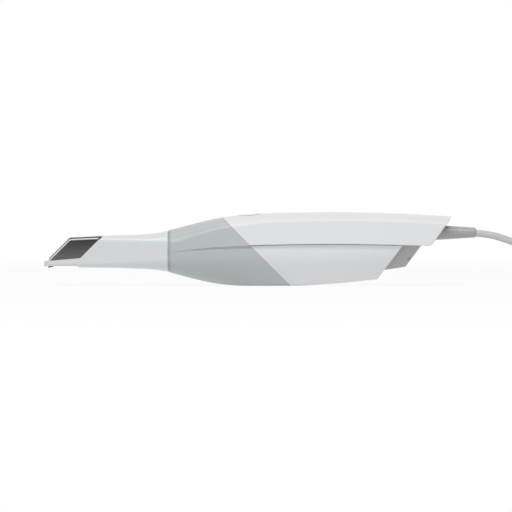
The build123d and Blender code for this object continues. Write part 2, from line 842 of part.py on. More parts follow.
def build_nose():
    """Collar ring, and the metal nose with its glass, lenses, spacer and spring."""
    neck = handle_form(shell_wall + fit_gap + neck_inset) & slab(0, flange_x + flange_thick)
    ring = (handle_form(ring_recess) & slab(0, ring_width)) - neck

    nose = Pos(-nose_reach, 0, 0) * extrude(nose_outline(), nose_reach, dir=(1, 0, 0))
    nose += tip_form(tip_wall + fit_gap) & slab(-nose_seat, 0)
    nose += neck
    nose += handle_form(shell_wall + fit_gap) & slab(flange_x, flange_x + flange_thick)
    nose += rod_x(flange_x, throat_end_x, throat_radius)
    nose -= rod_x(-nose_reach, throat_end_x, bore_radius)
    nose -= rod_x(-nose_reach, glass_thick - nose_reach, glass_radius + lens_gap)
    top = axis_z + nose_half_height
    pocket_z = top - spring_pocket
    pocket_start, pocket_end = spring_start_x - spring_end_gap, spring_end_x + spring_end_gap
    nose -= block(pocket_start, pocket_end, spring_width / 2 + fit_gap, pocket_z, reach)
    for hole in nose_holes():
        nose -= hole

    glass = rod_x(-nose_reach, glass_thick - nose_reach, glass_radius)
    lens_radius = bore_radius - lens_gap
    front_lens = lens_at(front_lens_x, lens_radius, lens_edge, *front_lens_sags)
    spacer_x = front_lens_x + lens_edge
    spacer = rod_x(spacer_x, spacer_x + spacer_length, lens_radius)
    spacer -= rod_x(spacer_x, spacer_x + spacer_length, lens_radius - spacer_wall)
    rear_lens = lens_at(spacer_x + spacer_length, lens_radius, lens_edge, *rear_lens_sags)
    keeper_x = spacer_x + spacer_length + lens_edge
    keeper_end = keeper_x + keeper_length
    keeper = rod_x(keeper_x, keeper_end, lens_radius) - rod_x(keeper_x, keeper_end, lens_radius - keeper_wall)

    middle = (spring_start_x + spring_end_x) / 2
    ceiling = at_tip(middle, tip_top_height) - tip_wall - fit_gap
    start, end = (spring_start_x, 0, pocket_z), (spring_end_x, 0, pocket_z)
    inner_start = (spring_start_x + spring_foot, 0, pocket_z)
    inner_end = (spring_end_x - spring_foot, 0, pocket_z)
    arch = ThreePointArc(start, (middle, 0, ceiling), end)
    hollow = ThreePointArc(inner_end, (middle, 0, ceiling - spring_thick), inner_start)
    ends = [Line(end, inner_end), Line(inner_start, start)]
    spring = extrude(Face(Wire([arch, ends[0], hollow, ends[1]])), spring_width / 2, dir=(0, 1, 0), both=True)
    screw_x = throat_end_x + frame_plate
    nose_screws = [screw_forward(screw_x, y, axis_z + z) for y, z in nose_screw_places]
    return {
        "collar_ring": ring,
        "nose_tube": nose,
        "front_glass": glass,
        "objective_front_lens": front_lens,
        "lens_spacer": spacer,
        "objective_rear_lens": rear_lens,
        "lens_keeper": keeper,
        "retaining_spring": spring,
        "nose_screws": group(nose_screws),
    }


def build_frame():
    """The trough that carries the optics, its guide rods and its screws."""
    start, floor = throat_end_x, frame_floor_z
    trough = block(start, frame_end_x, frame_half_width, floor, frame_top_z)
    inner_half = frame_half_width - frame_wall
    trough -= block(start + frame_plate, frame_end_x - frame_plate, inner_half, floor + frame_wall, reach)
    trough += block(lens_web_x, lens_web_x + lens_web, inner_half, floor, frame_top_z)
    trough += block(barrel_web_x, barrel_web_x + lens_web, inner_half, floor, frame_top_z)
    trough += block(splitter_x, splitter_end_x, inner_half, floor, axis_z - splitter_side / 2)
    trough -= rod_x(start, frame_end_x, bore_radius) & slab(start, lens_web_x + lens_web)
    trough -= rod_x(barrel_web_x, barrel_web_x + lens_web, camera_barrel_radius + running_gap)
    window = camera_board_half - camera_window_edge
    trough -= block(frame_end_x - frame_plate, frame_end_x, window, axis_z - window, axis_z + window)
    slot_half = coil_half_width + coil_side_gap
    coil_reach = coil_length / 2 + focus_travel + coil_end_gap
    trough -= block(carriage_x - coil_reach, carriage_x + coil_reach, slot_half, floor, floor + frame_wall)
    for y in rod_sides:
        trough -= rod_x(start, lens_web_x + lens_web, rod_radius + lens_gap, y, rod_height)
    for x in side_window_x:
        for y in (-frame_half_width, frame_half_width):
            trough -= Pos(x, y, axis_z) * Box(side_window_length, 3 * frame_wall, side_window_height)
    trough &= handle_form(shell_wall + inner_gap)
    for hole in saddle_holes() + nose_holes():
        trough -= hole
    floor_top = floor + frame_wall
    screws = [screw_down(x, y, floor_top) for x, y in saddle_screw_places]
    rods = [rod_x(start, lens_web_x + lens_web, rod_radius, y, rod_height) for y in rod_sides]
    return {"optics_frame": trough, "guide_rods": group(rods), "frame_screws": group(screws)}


def build_focus():
    """Focus carriage with its lens and coil, and the yoke with its magnets."""
    x0, x1 = carriage_x - carriage_length / 2, carriage_x + carriage_length / 2
    carriage = block(x0, x1, carriage_half_width, axis_z - carriage_height, axis_z + carriage_top)
    arm_half = coil_length / 2 - coil_arm_step
    arm_width = coil_half_width - coil_arm_inset
    carriage += block(carriage_x - arm_half, carriage_x + arm_half, arm_width, coil_top_z, axis_z)
    carriage -= rod_x(x0, x1, bore_radius)
    for y in rod_sides:
        carriage -= rod_x(x0, x1, rod_radius + running_gap, y, rod_height)
    lens_x, lens_radius = carriage_x - lens_edge / 2, bore_radius - lens_gap
    lens = lens_at(lens_x, lens_radius, lens_edge, focus_lens_sag, focus_lens_sag)

    c0, c1 = carriage_x - coil_length / 2, carriage_x + coil_length / 2
    coil = block(c0, c1, coil_half_width, coil_top_z - coil_height, coil_top_z)
    opening = coil_half_width - coil_winding
    coil -= block(c0, c1, opening, coil_top_z - coil_height + coil_winding, coil_top_z - coil_winding)
    core_mid = coil_top_z - coil_height / 2
    yoke_reach = coil_length / 2 + focus_travel + yoke_end_gap + yoke_end
    start, end = carriage_x - yoke_reach, carriage_x + yoke_reach
    base_z = coil_top_z - coil_height - yoke_floor_gap - yoke_plate
    yoke = block(start, end, yoke_half_width, base_z, base_z + yoke_plate)
    yoke += block(start, start + yoke_end, yoke_half_width, base_z, frame_floor_z)
    yoke += block(end - yoke_end, end, yoke_half_width, base_z, frame_floor_z)
    yoke += block(start, end, core_half_width, core_mid - core_height / 2, core_mid + core_height / 2)
    yoke &= handle_form(shell_wall + inner_gap)
    magnets = []
    for side in (-1, 1):
        middle = side * (coil_half_width + magnet_gap + magnet_thick / 2)
        height = frame_floor_z - base_z - yoke_plate - yoke_floor_gap
        place = Pos(carriage_x, middle, base_z + yoke_plate + height / 2)
        magnets.append(place * Box(end - start - 2 * yoke_end, magnet_thick, height))
    return {
        "focus_carriage": carriage,
        "focus_lens": lens,
        "voice_coil": coil,
        "magnet_yoke": yoke,
        "yoke_magnets": group(magnets),
    }


def build_light():
    """Beam splitter with the lamp above it."""
    half = splitter_side / 2
    splitter = block(splitter_x, splitter_end_x, half, axis_z - half, axis_z + half)
    middle = splitter_x + half
    plate_start, plate_end = splitter_x - clamp_overhang, splitter_end_x + clamp_overhang
    barrel = block(plate_start, plate_end, frame_half_width, frame_top_z, frame_top_z + clamp_plate)
    barrel += rod_z(axis_z + half, frame_top_z + barrel_height, barrel_radius, middle)
    barrel -= rod_z(axis_z, reach, barrel_bore, middle)
    slide_z = frame_top_z + slide_height
    ledge = rod_z(slide_z - slide_ledge, slide_z, barrel_bore + ledge_root, middle)
    barrel += ledge - rod_z(0, reach, barrel_bore - slide_ledge_wall, middle)
    slide = rod_z(slide_z, slide_z + slide_thick, barrel_bore - lens_gap, middle)
    lens_z = slide_z + slide_thick
    lens_top = lens_z + condenser_height
    condenser = rod_z(lens_z, lens_top, barrel_bore - lens_gap, middle)
    condenser &= Pos(middle, 0, lens_top - condenser_ball_radius) * Sphere(condenser_ball_radius)
    board_low = frame_top_z + barrel_height
    board = block(middle - lamp_half, middle + lamp_half, lamp_half, board_low, board_low + lamp_board_thick)
    chip = block(middle - lamp_chip, middle + lamp_chip, lamp_chip, board_low - lamp_chip_height, board_low)
    plate_low = board_low + lamp_board_thick
    spreader = block(middle - lamp_half, middle + lamp_half, lamp_half, plate_low, plate_low + spreader_fin)
    outer_fin = lamp_half - spreader_fin / 2
    fin = Box(2 * lamp_half, spreader_fin, spreader_height)
    for y in spread(-outer_fin, outer_fin, spreader_fins - 1):
        spreader += Pos(middle, y, plate_low + spreader_height / 2) * fin
    return {
        "beam_splitter": splitter,
        "lamp_barrel": barrel,
        "pattern_slide": slide,
        "condenser_lens": condenser,
        "lamp_board": board,
        "lamp_chip": chip,
        "heat_spreader": spreader,
    }


def build_camera():
    """Relay lens, camera barrel with its lens, and the sensor on its board."""
    relay = lens_at(lens_web_x, bore_radius - lens_gap, lens_web, relay_lens_sag, 0)
    x0, x1 = camera_barrel_x, camera_barrel_x + camera_barrel_length
    barrel = rod_x(x0, x1, camera_barrel_radius) - rod_x(x0, x1, camera_bore)
    lens_x = x0 + camera_lens_inset
    lens = lens_at(lens_x, camera_bore - lens_gap, lens_edge, camera_lens_sag, camera_lens_sag)
    board_x = frame_end_x - frame_plate - camera_board_thick
    half = camera_board_half
    board_top = axis_z + half - camera_board_notch
    board = block(board_x, board_x + camera_board_thick, half, axis_z - half, board_top)
    sensor = block(board_x - sensor_thick, board_x, sensor_half, axis_z - sensor_half, axis_z + sensor_half)
    return {
        "relay_lens": relay,
        "camera_barrel": barrel,
        "camera_lens": lens,
        "camera_board": board,
        "image_sensor": sensor,
    }


def build_board():
    """Main board with its chips, screws and heat sink."""
    board = block(board_start_x, board_end_x, board_half_width, board_z, board_z + board_thick)
    for hole in holes_up(board_screw_places, board_z):
        board -= hole
    top = board_z + board_thick
    chips = []
    for x, y, length, width, height in chip_table:
        chips.append(Pos(x, y, top + height / 2) * Box(length, width, height))
    socket_end = board_end_x + socket_overhang
    socket = block(socket_end - socket_length, socket_end, socket_half_width, top, top + socket_height)
    sink = block(sink_start_x, sink_end_x, sink_half_width, board_z - sink_base, board_z)
    for y in spread(-sink_half_width + sink_fin / 2, sink_half_width - sink_fin / 2, sink_fins - 1):
        fin = Box(sink_end_x - sink_start_x, sink_fin, sink_depth)
        sink += Pos((sink_start_x + sink_end_x) / 2, y, board_z - sink_base - sink_depth / 2) * fin
    return {
        "main_board": board,
        "board_chips": group(chips),
        "cord_socket": socket,
        "board_screws": group([screw_up(x, y, board_z) for x, y in board_screw_places]),
        "heat_sink": sink,
    }


def build_fan():
    """Square fan frame with its spider, and the bladed rotor that turns in it."""
    half = fan_side / 2
    plan = RectangleRounded(fan_side, fan_side, fan_corner)
    frame = Pos(fan_x, 0, fan_z) * Rot(0, 90, 0) * extrude(plan, fan_depth)
    frame -= rod_x(fan_x, fan_x + fan_depth, fan_tip_radius + fan_tip_gap, 0, fan_z)
    spider_end = fan_x + fan_spider
    hub = rod_x(fan_x, spider_end, fan_hub_radius, 0, fan_z)
    arms = Part()
    arm = Pos(0, half / 2, 0) * Box(fan_spider, half, fan_arm_width)
    for turn in fan_arm_turns:
        arms += Pos(fan_x + fan_spider / 2, 0, fan_z) * Rot(turn, 0, 0) * arm
    frame += hub + (arms & rod_x(fan_x, spider_end, half - fan_arm_inset, 0, fan_z))
    shaft_end = spider_end + fan_shaft_length
    frame += rod_x(spider_end, shaft_end, fan_shaft_radius, 0, fan_z)
    frame &= handle_form(shell_wall + inner_gap)

    r0, r1 = spider_end + fan_hub_gap, fan_x + fan_depth - fan_hub_gap
    rotor = rod_x(r0, r1, fan_hub_radius, 0, fan_z)
    swept = rod_x(r0 + fan_blade_inset, r1 - fan_blade_inset, fan_tip_radius, 0, fan_z)
    blades = Part()
    blade_middle = fan_tip_radius / 2 + fan_blade_shift
    blade = Box(fan_blade_length, fan_tip_radius, fan_blade_thick)
    for i in range(fan_blades):
        pitched = Pos(0, blade_middle, 0) * Rot(0, fan_blade_pitch, 0) * blade
        blades += Pos((r0 + r1) / 2, 0, fan_z) * Rot(i * 360 / fan_blades, 0, 0) * pitched
    rotor += blades & swept
    rotor -= rod_x(fan_x, shaft_end + fan_shaft_end_gap, fan_shaft_radius + running_gap, 0, fan_z)
    return {"fan_frame": frame, "fan_rotor": rotor}


def build_button():
    """Scan button in its bezel, with the switch on its own board."""
    skin_zone = rod_z(bezel_flange_z, reach, bezel_radius, button_x)
    flange_zone = rod_z(bezel_flange_z, reach, bezel_radius + bezel_flange, button_x)
    bezel = handle_form() & skin_zone
    bezel += handle_form(shell_wall + fit_gap) & flange_zone
    bezel -= rod_z(0, reach, button_radius + button_gap, button_x)
    button = handle_form() & rod_z(bezel_flange_z - button_flange, reach, button_radius, button_x)
    low = bezel_flange_z - fit_gap
    button += rod_z(low - button_flange, low, button_radius + button_flange_edge, button_x)
    switch_top = button_board_z + board_thick + switch_height
    button += rod_z(switch_top + button_travel + fit_gap, low, button_stem_radius, button_x)
    half = button_board_half
    board_half_y = button_post_y + post_radius
    top = button_board_z + board_thick
    board = block(button_x - half, button_x + half, board_half_y, button_board_z, top)
    for hole in holes_up(button_screw_places, button_board_z):
        board -= hole
    dome_low = top + switch_height - switch_dome
    switch = block(button_x - switch_half, button_x + switch_half, switch_half, top, dome_low)
    switch += rod_z(top, top + switch_height, switch_dome_radius, button_x)
    return {
        "button_bezel": bezel,
        "scan_button": button,
        "button_board": board,
        "button_switch": switch,
        "button_screws": group([screw_up(x, y, button_board_z) for x, y in button_screw_places]),
    }


def build_rear():
    """Rear cap with its outlet slots, the strain relief, the clamp and the lead inside."""
    cap_zone = before_rake(cap_end_x)
    wide = rear_form(shell_wall + cap_gap) & above_seam(shell_wall / 2)
    narrow = rear_form(plug_inset)
    start = slab(cap_front_x, far_right)
    cap = (wide & start) + (narrow & slab(cap_front_x - cap_nose_length, far_right))
    cap &= cap_zone
    bulk_end = lower_end_x - raked(bulkhead_recess)
    bulkhead = before_rake(bulk_end) - before_rake(bulk_end - raked(bulkhead_wall))
    bulkhead = (handle_form(shell_wall + cap_gap) & bulkhead) - above_seam(-lip_depth)
    cap += bulkhead
    inner_zone = before_rake(cap_end_x - raked(cap_wall))
    hollow = rear_form(shell_wall + cap_gap + cap_wall) & above_seam(shell_wall / 2 + cap_wall)
    hollow += rear_form(plug_inset + cap_wall)
    cap -= hollow & inner_zone
    boss = rod_x(boot_boss_start_x, far_right, boot_boss, 0, cord_z)
    cap += boss & cap_zone & handle_form(shell_wall + cap_gap)
    cap -= rod_x(boot_boss_start_x, far_right, boot_bore, 0, cord_z)
    for i in range(slot_count):
        y = (i - (slot_count - 1) / 2) * slot_pitch
        if abs(y) < at(cap_end_x, keel_half_width):
            cut = Box(4 * cap_wall, slot_width, slot_high_z - slot_low_z)
            z = (slot_low_z + slot_high_z) / 2
            cap -= Pos(rake_x(cap_end_x, z), y, z) * cut

    x0 = boot_boss_start_x - boot_flange
    profile = [
        (x0, cord_radius),
        (x0, boot_flange_radius),
        (boot_boss_start_x, boot_flange_radius),
        (boot_boss_start_x, boot_bore - fit_gap),
        (boot_exit_x, boot_bore - fit_gap),
        (boot_end_x - boot_rim, boot_end_radius),
        (boot_end_x, boot_end_radius - boot_rim),
        (boot_end_x, cord_radius),
    ]
    outline = Polyline(*[(x, 0, cord_z + r) for x, r in profile], close=True)
    boot = revolve(Face(Wire(outline.edges())), Axis((0, 0, cord_z), (1, 0, 0)))

    clamp_x = x0 - clamp_length
    clamp_low, clamp_high = cord_z - clamp_half_height, cord_z + clamp_half_height
    clamp = block(clamp_x, x0, clamp_half_width, clamp_low, clamp_high)
    clamp -= rod_x(clamp_x, x0, cord_radius + running_gap, 0, cord_z)
    lead = rod_x(lead_start_x, cord_route[0][0], cord_radius, 0, cord_z)
    return {"rear_cap": cap, "strain_relief": boot, "cable_clamp": clamp, "inner_lead": lead}


def rounded_path(points):
    """Straight runs joined by tangent arcs, each as large as its two runs allow. Prints the radii."""
    radii = []
    for before, here, after in zip(points, points[1:], points[2:]):
        first, second = Vector(*here) - Vector(*before), Vector(*after) - Vector(*here)
        half_turn = math.radians(first.get_angle(second)) / 2
        radii.append(0.45 * min(first.length, second.length) / math.tan(half_turn))
    print("cord radii", [round(r, 1) for r in radii])
    return FilletPolyline(*points, radius=radii)


def cord_tube(points):
    """A round cord along a route."""
    path = rounded_path(points)
    start = Plane(origin=path @ 0, z_dir=path % 0)
    tube = sweep(start * Circle(cord_radius), path=path)
    print("cord volume over section times length", tube.volume / (math.pi * cord_radius**2 * path.length))
    return tube


def build_cord():
    """The free cord, its tied hank, and the plug at its end."""
    wide, tall = hank_columns * 2 * cord_radius, hank_layers * 2 * cord_radius
    entry_x, entry_y, entry_z = cord_route[-1]
    exit_x, exit_y, exit_z = tail_route[0]
    inner = hank_fold - cord_radius
    outer = inner + wide
    low = exit_z - cord_radius - hank_bed
    start_x = entry_x + hank_stub
    middle = start_x + hank_run / 2
    plan = SlotCenterToCenter(hank_run, 2 * outer) - SlotCenterToCenter(hank_run, 2 * inner)
    hank = extrude(Pos(middle, (entry_y + exit_y) / 2, low) * plan, tall)
    hank = fillet(hank.faces().filter_by(Axis.Z).edges(), cord_radius - rim_left)
    hank += rod_x(entry_x, start_x, cord_radius, entry_y, entry_z)
    hank += rod_x(exit_x, start_x, cord_radius, exit_y, exit_z)
    clear_wide, clear_tall = 2 * (outer + running_gap), tall + 2 * running_gap
    strap_in = RectangleRounded(clear_wide, clear_tall, cord_radius)
    wide_out, tall_out = clear_wide + 2 * tie_thick, clear_tall + 2 * tie_thick
    strap_out = RectangleRounded(wide_out, tall_out, cord_radius + tie_thick)
    strap_start = (middle - tie_width / 2, (entry_y + exit_y) / 2, low + tall / 2)
    strap_plane = Plane(origin=strap_start, x_dir=(0, 1, 0), z_dir=(1, 0, 0))
    tie = extrude(strap_plane * (strap_out - strap_in), tie_width)
    top = low + tall + running_gap + tie_thick
    tie += block(middle - tie_width / 2, middle + tie_width / 2, tie_end / 2, top, top + tie_thick)

    end, before = Vector(*tail_route[-1]), Vector(*tail_route[-2])
    plug_plane = Plane(origin=end, x_dir=(0, 0, 1), z_dir=end - before)
    body_outline = RectangleRounded(2 * plug_half_thick, 2 * plug_half_width, plug_round)
    neck_side = 2 * (cord_radius + plug_neck_edge)
    neck = RectangleRounded(neck_side, neck_side, cord_radius)
    shoulder = plug_plane.offset(plug_neck) * body_outline
    body = loft([plug_plane * neck, shoulder], ruled=True)
    body += extrude(shoulder, plug_length - plug_neck)
    metal = Rectangle(2 * shell_half_thick, 2 * shell_half_width)
    shell = extrude(plug_plane.offset(plug_length - shell_root) * metal, shell_root + shell_length)
    body -= shell
    mouth = plug_plane.offset(plug_length)
    half_thick, half_width_inside = shell_half_thick - shell_metal, shell_half_width - shell_metal
    shell -= extrude(mouth * Rectangle(2 * half_thick, 2 * half_width_inside), shell_length)
    tongue_plan = Rectangle(tongue_thick, 2 * (half_width_inside - tongue_gap))
    tongue_place = Pos(half_thick - tongue_thick / 2, 0, 0)
    tongue = extrude(mouth * tongue_place * tongue_plan, shell_length - tongue_short)
    return {
        "cable": cord_tube(cord_route),
        "cable_coil": hank,
        "coil_tie": tie,
        "cable_tail": cord_tube(tail_route),
        "plug_body": body,
        "plug_shell": shell,
        "plug_tongue": tongue,
    }


def main():
    os.makedirs("parts", exist_ok=True)
    pieces = {}
    for build in (
        build_cord,
        build_rear,
        build_tip,
        build_nose,
        build_frame,
        build_focus,
        build_light,
        build_camera,
        build_board,
        build_fan,
        build_button,
        build_casing,
    ):
        pieces.update(build())
    for name, shape in pieces.items():
        export_step(Pos(frame_shift, 0, 0) * shape, f"parts/{name}.step")


main()
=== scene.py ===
"""Corded intraoral scanner: finishes, cord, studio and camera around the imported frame."""

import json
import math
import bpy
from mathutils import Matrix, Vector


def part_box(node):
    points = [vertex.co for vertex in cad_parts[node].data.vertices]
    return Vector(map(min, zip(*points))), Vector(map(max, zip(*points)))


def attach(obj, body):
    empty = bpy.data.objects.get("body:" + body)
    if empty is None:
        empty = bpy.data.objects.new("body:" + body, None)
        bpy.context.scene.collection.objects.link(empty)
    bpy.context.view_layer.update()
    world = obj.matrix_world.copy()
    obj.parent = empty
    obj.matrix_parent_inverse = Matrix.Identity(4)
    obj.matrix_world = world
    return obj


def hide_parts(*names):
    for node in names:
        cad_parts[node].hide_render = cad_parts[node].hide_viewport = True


bl_info = {
    "name": "Intraoral Scanner",
    "version": (1, 0, 0),
    "blender": (4, 5, 0),
    "location": "View3D > Sidebar > Scanner",
    "description": "Dresses a corded intraoral scanner with its finishes, cord and studio",
    "category": "Object",
}

import bpy
from mathutils import Matrix, Vector

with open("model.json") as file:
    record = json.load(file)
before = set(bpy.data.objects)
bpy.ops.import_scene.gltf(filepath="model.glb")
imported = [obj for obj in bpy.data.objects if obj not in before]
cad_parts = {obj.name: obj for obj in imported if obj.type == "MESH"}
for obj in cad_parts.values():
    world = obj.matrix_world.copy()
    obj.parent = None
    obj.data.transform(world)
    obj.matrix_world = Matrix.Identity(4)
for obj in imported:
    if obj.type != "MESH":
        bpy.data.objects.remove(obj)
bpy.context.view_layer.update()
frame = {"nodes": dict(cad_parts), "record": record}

MM = 0.001
# The row frame's origin lies this far behind the collar face, so working places move by it.
ORIGIN_X = 60.6

# Surfaces. Grains, grooves, depths and edges are in millimetres, and scales are lumps to the metre.
DRIFT_SCALE = 35.0
HAZE_SCALE = 400.0
MIRROR_HAZE_SCALE = 300.0
LOOP_SCALE = 1400.0
TRACK_SCALE = 300.0
# How far the roughness drifts to each side of its own value, on plastic and on metal.
GLOSS_DRIFT = 0.03
METAL_GLOSS_DRIFT = 0.08
COAT_ROUGHNESS = 0.12
# Turned metal's lines are close along X and drawn out along Y and Z.
LINE_STRETCH = (1.0, 0.03, 0.03)
# The two colour inputs of a colour mix node, and its colour output.
MIX_A, MIX_B, MIX_RESULT = 6, 7, 2
WHITE = (1.0, 1.0, 1.0, 1.0)

# The hood's lowest and highest edge, as heights, the painted shade's colour at each, and the lumps in its
# polish.
HOOD_SHADE_HEIGHTS = (17.0, 31.5)
HOOD_SHADE_COLOURS = ("#62625F", "#141413")
HOOD_POLISH = 0.6
# A white bead that edges the hood's side as painted highlight on its rounded edge: along its top, down its
# raked end and round the chin's corner.
HOOD_HIGHLIGHT_BEAD = (
    (-46.0, 9.66, 31.3),
    (-55.0, 9.52, 30.9),
    (-62.5, 9.38, 30.55),
    (-64.9, 9.36, 30.3),
    (-66.8, 9.34, 28.4),
    (-72.0, 9.30, 23.2),
    (-78.2, 9.26, 17.0),
    (-79.6, 8.86, 15.6),
    (-81.0, 7.45, 14.1),
    (-81.5, 6.3, 13.2),
)
# A dark lip under the chin as painted shade where its underside falls in shadow, from one side of the window
# round to the other.
CHIN_SHADOW_LIP = (
    (-75.6, -8.4, 13.1),
    (-77.3, -8.1, 12.8),
    (-78.7, -6.6, 12.3),
    (-79.3, 0.0, 12.2),
    (-78.7, 6.6, 12.3),
    (-77.3, 8.1, 12.8),
    (-75.6, 8.4, 13.1),
)
# Sides of a bead or a rib in section.
TRIM_SIDES = 14
# The plug's grip: ribs across its top, from this far along it, and their half length.
RIB_START = 11.0
RIB_HALF = 5.2

# The cord's route, as in the solids: straight out of the boot, down to the hank, and back out beside it.
CORD_ROUTE = (
    (190.0, 0.0, 35.0),
    (208.0, 0.0, 35.0),
    (227.0, -0.9, 29.3),
    (246.0, -4.4, 20.6),
    (264.0, -10.4, 15.0),
    (281.0, -17.6, 12.8),
    (298.0, -23.75, 12.8),
    (314.0, -23.75, 12.8),
)
TAIL_ROUTE = (
    (314.0, 23.75, 3.7),
    (304.0, 23.75, 3.7),
    (294.0, 22.2, 4.0),
    (285.0, 20.0, 4.3),
    (276.0, 17.8, 4.3),
)
# The hank's turns by column, from outside in, and by layer, from below, in the order of winding.
WINDING = ((0, 2), (1, 2), (2, 2), (2, 1), (2, 0), (1, 0), (1, 1), (0, 1), (0, 0))
TOP_LAYER = 2
# A fold has this many points, and each run one more at its middle.
FOLD_POINTS = 6
# At the last points of each turn the cord moves over to the next one's place by these shares.
CROSSING = {10: 0.1, 11: 0.45, 12: 0.8, 13: 1.0}
# Steps between two points of a spline, and how finely each quarter of the cord's round is cut.
SPLINE_STEPS = 6
CORD_ROUNDNESS = 5

# Studio. What the picture centres on, and what the lights point at.
AIM = (57.75, 0.0, 19.5)
LIT = (57.75, 0.0, 24.0)
# Each soft box: its power's setting, its name, its place from what it lights, its width and height.
SOFT_BOXES = (
    ("key", "key soft box", (-0.1, -0.6, 0.86), (1.1, 0.4)),
    ("top", "overhead soft box", (0.0, 0.25, 1.0), (1.4, 0.5)),
    ("fill", "front soft box", (0.1, -1.2, 0.06), (1.6, 0.7)),
)
TABLE_HALF = 3.0
# To the eye the table glows white: by this share near the scanner, where the rest takes its shadow,
# and all of it far away. It goes over from one to the other between these distances, in metres.
NEAR_GLOW = 0.9
GLOW_RANGE = (0.3, 0.7)
# The table is lit a little from beneath, as a light table is, so it brightens what stands over it.
LIGHT_FROM_BENEATH = 0.4
SENSOR_WIDTH = 36.0
CLIP_END = 20.0


def place(x, y, z):
    """A point of the working frame, in millimetres from the collar face, as metres in the row frame."""
    return Vector(((x - ORIGIN_X) * MM, y * MM, z * MM))


def linear(hex_colour):
    """An sRGB hex colour as the opaque linear colour that the shaders take."""
    digits = hex_colour.lstrip("#")
    parts = [int(digits[i : i + 2], 16) / 255 for i in (0, 2, 4)]
    return tuple(c / 12.92 if c <= 0.04045 else ((c + 0.055) / 1.055) ** 2.4 for c in parts) + (1.0,)


def add(tree, kind, inputs=None, **settings):
    """Adds a node with its settings. An input is a value, or another node's socket to link from."""
    node = tree.nodes.new(kind)
    for name, value in settings.items():
        setattr(node, name, value)
    for key, value in (inputs or {}).items():
        socket = node.inputs[key]
        if isinstance(value, bpy.types.NodeSocket):
            tree.links.new(value, socket)
        else:
            socket.default_value = value
    return node


def blank(name):
    """A new material, its empty tree, and the place on the piece in metres."""
    material = bpy.data.materials.new(name)
    material.use_nodes = True
    tree = material.node_tree
    tree.nodes.clear()
    return material, tree, add(tree, "ShaderNodeTexCoord").outputs["Object"]


def principled(tree, values):
    """One principled shader, joined to the material's output."""
    shader = add(tree, "ShaderNodeBsdfPrincipled", values)
    add(tree, "ShaderNodeOutputMaterial", {"Surface": shader.outputs["BSDF"]})


def noise(tree, where, scale, detail=2.0, rough=0.5):
    """A fractal noise from 0 to 1."""
    values = {"Vector": where, "Scale": scale, "Detail": detail, "Roughness": rough}
    return add(tree, "ShaderNodeTexNoise", values).outputs["Fac"]


def between(tree, factor, low, high, start=0.0, end=1.0):
    """A number that runs from low to high as the factor goes from its start to its end."""
    values = {"Value": factor, "From Min": start, "From Max": end, "To Min": low, "To Max": high}
    return add(tree, "ShaderNodeMapRange", values).outputs["Result"]


def shade_between(tree, factor, dark, light):
    """A colour that runs from dark to light as the factor goes from 0 to 1."""
    mix = add(tree, "ShaderNodeMix", {"Factor": factor}, data_type="RGBA")
    mix.inputs[MIX_A].default_value = linear(dark)
    mix.inputs[MIX_B].default_value = linear(light)
    return mix.outputs[MIX_RESULT]


def relief(tree, height, strength, depth, edge=0.0, samples=8):
    """The surface's normal with a fine relief, and with its edges softened where they have a radius."""
    values = {"Height": height, "Strength": strength, "Distance": depth * MM}
    if edge:
        rounded = add(tree, "ShaderNodeBevel", {"Radius": edge * MM}, samples=samples)
        values["Normal"] = rounded.outputs["Normal"]
    return add(tree, "ShaderNodeBump", values).outputs["Normal"]


def moulded(name, dark, light=None, rough=0.5, grain=0.35, depth=0.004, coat=0.0, ior=1.5, edge=0.3):
    """Moulded plastic or rubber: a colour that drifts a little, a fine grain, and softened edges."""
    material, tree, where = blank(name)
    drift = noise(tree, where, DRIFT_SCALE, rough=0.4)
    spark = noise(tree, where, 1 / (grain * MM), detail=3.0, rough=0.6)
    principled(
        tree,
        {
            "Base Color": shade_between(tree, drift, dark, light or dark),
            "Roughness": between(tree, drift, rough - GLOSS_DRIFT, rough + GLOSS_DRIFT),
            "IOR": ior,
            "Normal": relief(tree, spark, strength=0.5, depth=depth, edge=edge),
            "Coat Weight": coat,
            "Coat Roughness": COAT_ROUGHNESS,
        },
    )
    return material


def smoked_polymer():
    """Moulded smoked polysulfone under an even gloss, with painted shade: darkest at its top and paler
    below.
    """
    material, tree, where = blank("smoked polysulfone")
    height = add(tree, "ShaderNodeSeparateXYZ", {"Vector": where}).outputs["Z"]
    # Painted shade: the colour runs from pale at the hood's foot to dark at its top, as the light falls on
    # it.
    depth = between(tree, height, 0.0, 1.0, HOOD_SHADE_HEIGHTS[0] * MM, HOOD_SHADE_HEIGHTS[1] * MM)
    polish = noise(tree, where, 1 / (HOOD_POLISH * MM))
    principled(
        tree,
        {
            "Base Color": shade_between(tree, depth, *HOOD_SHADE_COLOURS),
            "Roughness": 0.24,
            "IOR": 1.45,
            "Normal": relief(tree, polish, strength=0.3, depth=0.002, edge=0.5, samples=6),
        },
    )
    return material


def turned_metal(name, dark, light, rough, groove=0.25, depth=0.004):
    """Turned or brushed metal: fine lines across the piece's length, stronger in some bands than others."""
    material, tree, where = blank(name)
    lined = add(tree, "ShaderNodeMapping", {"Vector": where, "Scale": LINE_STRETCH})
    lines = noise(tree, lined.outputs["Vector"], 1 / (groove * MM), detail=4.0, rough=0.65)
    principled(
        tree,
        {
            "Base Color": shade_between(tree, lines, dark, light),
            "Metallic": 1.0,
            "Roughness": between(tree, lines, rough - METAL_GLOSS_DRIFT, rough + METAL_GLOSS_DRIFT),
            "Normal": relief(tree, lines, strength=0.6, depth=depth),
        },
    )
    return material


def coated_glass(name, tint, ior=1.52, film="#C8DCF0"):
    """Polished optical glass with a thin anti-reflection film."""
    material, tree, where = blank(name)
    principled(
        tree,
        {
            "Base Color": linear(tint),
            "Roughness": between(tree, noise(tree, where, HAZE_SCALE), 0.0, 0.04),
            "IOR": ior,
            "Transmission Weight": 0.9,
            "Coat Weight": 0.4,
            "Coat Tint": linear(film),
        },
    )
    return material


